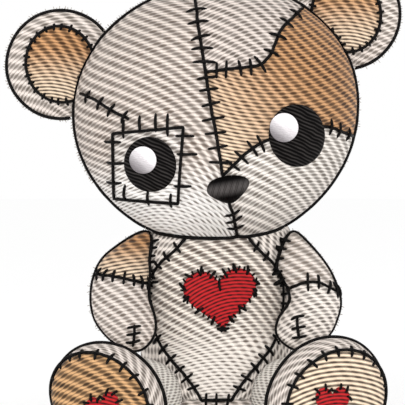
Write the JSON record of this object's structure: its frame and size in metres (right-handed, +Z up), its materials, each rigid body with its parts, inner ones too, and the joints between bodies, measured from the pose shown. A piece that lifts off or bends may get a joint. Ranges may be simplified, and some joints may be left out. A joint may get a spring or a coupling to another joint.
{
  "type": "threadbare teddy bear",
  "caption": "Seated threadbare patchwork teddy bear with a tilted round head, coarse seam stitches, a square eye patch, felt hearts and upright round soles.",
  "frame": {"origin": "middle of the flat seat, on the surface that the bear sits on", "axes": "+Z up, the bear faces -Y, +X to the onlooker's right"},
  "size_m": [0.2146, 0.1528, 0.2626],
  "materials": {
    "worn_cream_cloth": "matt, worn, coarse rows of thread",
    "pale_cream_cloth": "matt, worn, coarse rows of thread",
    "brown_cloth": "matt, faded towards one edge",
    "tan_cloth": "matt, faded",
    "red_felt": "matt, stitched in rows",
    "black_satin_thread": "soft sheen of laid thread",
    "white_satin_thread": "soft sheen of laid thread",
    "wool_stuffing": "loose white fill, not seen"
  },
  "bodies": {
    "root": {"face_left_panel": "worn_cream_cloth", "crown_panel": "pale_cream_cloth", "face_brown_panel": "brown_cloth", "cheek_panel": "pale_cream_cloth", "head_back_left": "worn_cream_cloth", "head_back_right": "worn_cream_cloth", "head_stuffing": "wool_stuffing", "eye_patch": "pale_cream_cloth", "eye_left": "black_satin_thread", "eye_right": "black_satin_thread", "eye_left_glint": "white_satin_thread", "eye_right_glint": "white_satin_thread", "nose": "black_satin_thread", "ear_left": "pale_cream_cloth", "ear_right": "pale_cream_cloth", "ear_left_pad": "brown_cloth", "ear_right_pad": "brown_cloth", "belly_panel": "worn_cream_cloth", "body_side_left": "pale_cream_cloth", "body_side_right": "pale_cream_cloth", "body_back_left": "worn_cream_cloth", "body_back_right": "worn_cream_cloth", "seat_panel": "pale_cream_cloth", "torso_stuffing": "wool_stuffing", "belly_heart": "red_felt", "arm_left_upper": "brown_cloth", "arm_left_lower": "pale_cream_cloth", "arm_left_stuffing": "wool_stuffing", "arm_right_upper": "worn_cream_cloth", "arm_right_lower": "pale_cream_cloth", "arm_right_stuffing": "wool_stuffing", "leg_left": "pale_cream_cloth", "leg_right": "pale_cream_cloth", "foot_left": "worn_cream_cloth", "foot_right": "worn_cream_cloth", "leg_left_stuffing": "wool_stuffing", "leg_right_stuffing": "wool_stuffing", "sole_left_pad": "brown_cloth", "sole_right_pad": "tan_cloth", "sole_left_heart": "red_felt", "sole_right_heart": "red_felt"}
  },
  "joints": []
}
